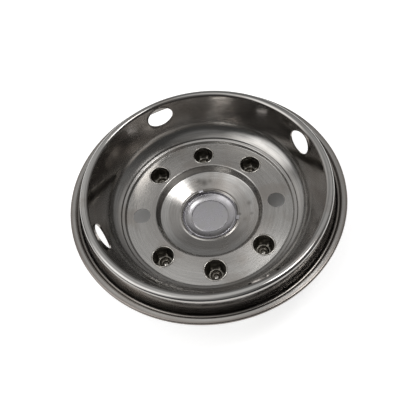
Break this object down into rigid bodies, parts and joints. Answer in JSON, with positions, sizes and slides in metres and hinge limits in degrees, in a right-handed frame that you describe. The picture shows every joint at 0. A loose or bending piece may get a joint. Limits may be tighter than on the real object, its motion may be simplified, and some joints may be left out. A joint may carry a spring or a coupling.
{
  "type": "truck wheel simulator",
  "caption": "Dished stainless cover for the front wheel of a truck, with a folded lip, hand holes, false lug nut covers, open stud holes and a centre cap; it lies on its face.",
  "frame": {"origin": "on the wheel axis, at the level of the nut cover tips that it rests on", "axes": "+Z along the axis towards the wheel, +X through one of the two open stud holes"},
  "size_m": [0.524, 0.524, 0.142],
  "materials": {
    "polished_stainless": "polished stainless with circular brush marks on the lug flange",
    "plated_nut_cover": "plated steel, dull inside",
    "cap_steel": "smooth cool grey sheet"
  },
  "bodies": {
    "root": {"wheel_shell": "polished_stainless", "lug_nut_cover_1": "plated_nut_cover", "lug_nut_cover_2": "plated_nut_cover", "lug_nut_cover_3": "plated_nut_cover", "lug_nut_cover_4": "plated_nut_cover", "lug_nut_cover_5": "plated_nut_cover", "lug_nut_cover_6": "plated_nut_cover", "centre_cap": "cap_steel"}
  },
  "joints": []
}
